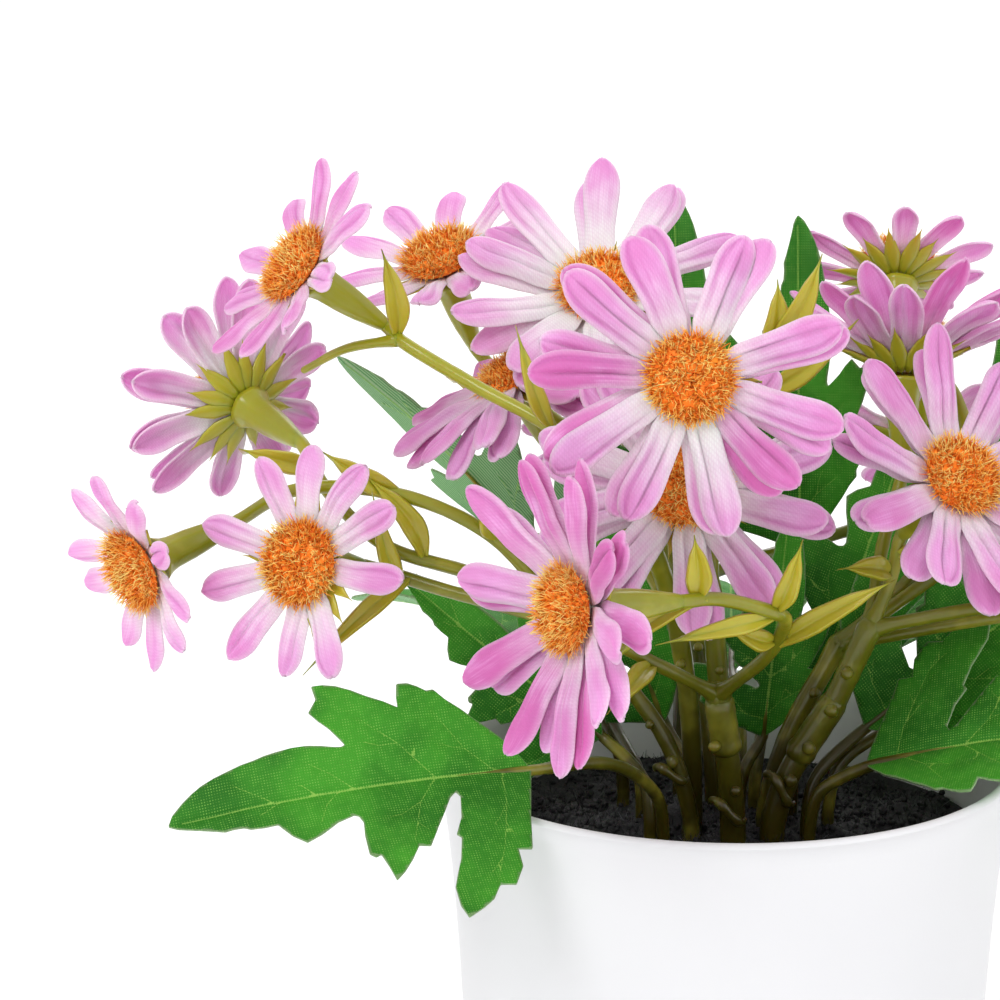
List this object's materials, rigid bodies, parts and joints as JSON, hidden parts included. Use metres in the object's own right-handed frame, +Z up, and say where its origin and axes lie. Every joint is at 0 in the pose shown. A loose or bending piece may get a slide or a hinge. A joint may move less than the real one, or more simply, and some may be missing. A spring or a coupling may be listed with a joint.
{
  "type": "artificial potted daisy",
  "caption": "Artificial potted daisy: pink fabric daisies with orange bristly discs on moulded olive stems, with cut green leaves, standing in dark soil in a plain white round pot.",
  "frame": {"origin": "centre of the pot's flat underside", "axes": "+Z up along the pot's axis, and -Y towards the front, where the large front bloom faces"},
  "size_m": [0.2278, 0.184, 0.1896],
  "materials": {
    "pot": "matt, smooth",
    "soil": "loose black fibre",
    "stem": "moulded, slightly translucent",
    "leaf": "printed woven fabric",
    "petal": "printed woven fabric, white at the root",
    "disc": "flocked bristles"
  },
  "bodies": {
    "root": {"pot": "pot", "soil": "soil", "stem_front": "stem", "stem_left_mid": "stem", "stem_left_high": "stem", "stem_centre": "stem", "stem_right": "stem", "stem_back": "stem", "stem_far_right": "stem", "leaf_front_left": "leaf", "leaf_left": "leaf", "leaf_left_high": "leaf", "leaf_mid_left": "leaf", "leaf_mid_right": "leaf", "leaf_back_tall": "leaf", "leaf_back_right_tall": "leaf", "leaf_right_mid": "leaf", "leaf_right_high": "leaf", "leaf_right": "leaf", "leaf_right_low": "leaf", "leaf_back_left": "leaf", "leaf_back_right": "leaf", "leaf_back": "leaf", "petals_front": "petal", "disc_front": "disc", "petals_front_low": "petal", "disc_front_low": "disc", "petals_upper_mid": "petal", "disc_upper_mid": "disc", "petals_upper_left": "petal", "disc_upper_left": "disc", "petals_left_top": "petal", "disc_left_top": "disc", "petals_left_back": "petal", "disc_left_back": "disc", "petals_left_low": "petal", "disc_left_low": "disc", "petals_far_left": "petal", "disc_far_left": "disc", "petals_low_front": "petal", "disc_low_front": "disc", "petals_mid_left": "petal", "disc_mid_left": "disc", "petals_right_back": "petal", "disc_right_back": "disc", "petals_right_up": "petal", "disc_right_up": "disc", "petals_right_front": "petal", "disc_right_front": "disc", "petals_right_low": "petal", "disc_right_low": "disc", "petals_right_high": "petal", "disc_right_high": "disc", "petals_far_right": "petal", "disc_far_right": "disc", "petals_back_right": "petal", "disc_back_right": "disc", "petals_back_mid": "petal", "disc_back_mid": "disc"}
  },
  "joints": []
}
